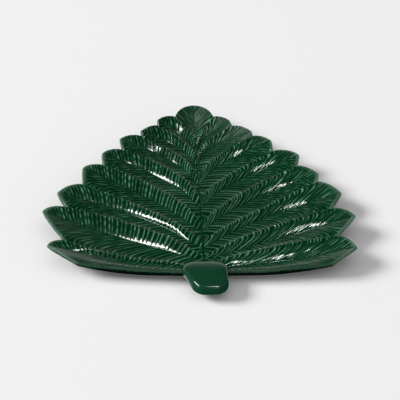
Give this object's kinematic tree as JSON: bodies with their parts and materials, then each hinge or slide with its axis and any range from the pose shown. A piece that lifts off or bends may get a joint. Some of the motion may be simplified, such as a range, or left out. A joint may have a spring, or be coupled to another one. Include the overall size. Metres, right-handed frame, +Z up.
{
  "type": "tree-shaped serving platter",
  "caption": "Shallow glazed stoneware serving platter in the outline of a fir tree, with needle-covered boughs, a central stem, a trunk handle and a foot ring.",
  "frame": {"origin": "on the table, under the middle of the platter's box, within 3 mm of the stem", "axes": "+Z up, +Y from the trunk to the tip of the tree, +X to the right as the trunk points at the viewer"},
  "size_m": [0.3292, 0.3295, 0.0236],
  "materials": {
    "bough_glaze": "gloss",
    "dish_glaze": "gloss",
    "trunk_glaze": "gloss",
    "bare_stoneware": "matte"
  },
  "bodies": {
    "root": {"base_dish": "dish_glaze", "stem": "bough_glaze", "bough_top": "bough_glaze", "bough_left_1": "bough_glaze", "bough_left_2": "bough_glaze", "bough_left_3": "bough_glaze", "bough_left_4": "bough_glaze", "bough_left_5": "bough_glaze", "bough_left_6": "bough_glaze", "bough_left_7": "bough_glaze", "bough_left_8": "bough_glaze", "bough_right_1": "bough_glaze", "bough_right_2": "bough_glaze", "bough_right_3": "bough_glaze", "bough_right_4": "bough_glaze", "bough_right_5": "bough_glaze", "bough_right_6": "bough_glaze", "bough_right_7": "bough_glaze", "bough_right_8": "bough_glaze", "trunk_handle": "trunk_glaze", "foot_ring": "bare_stoneware"}
  },
  "joints": []
}
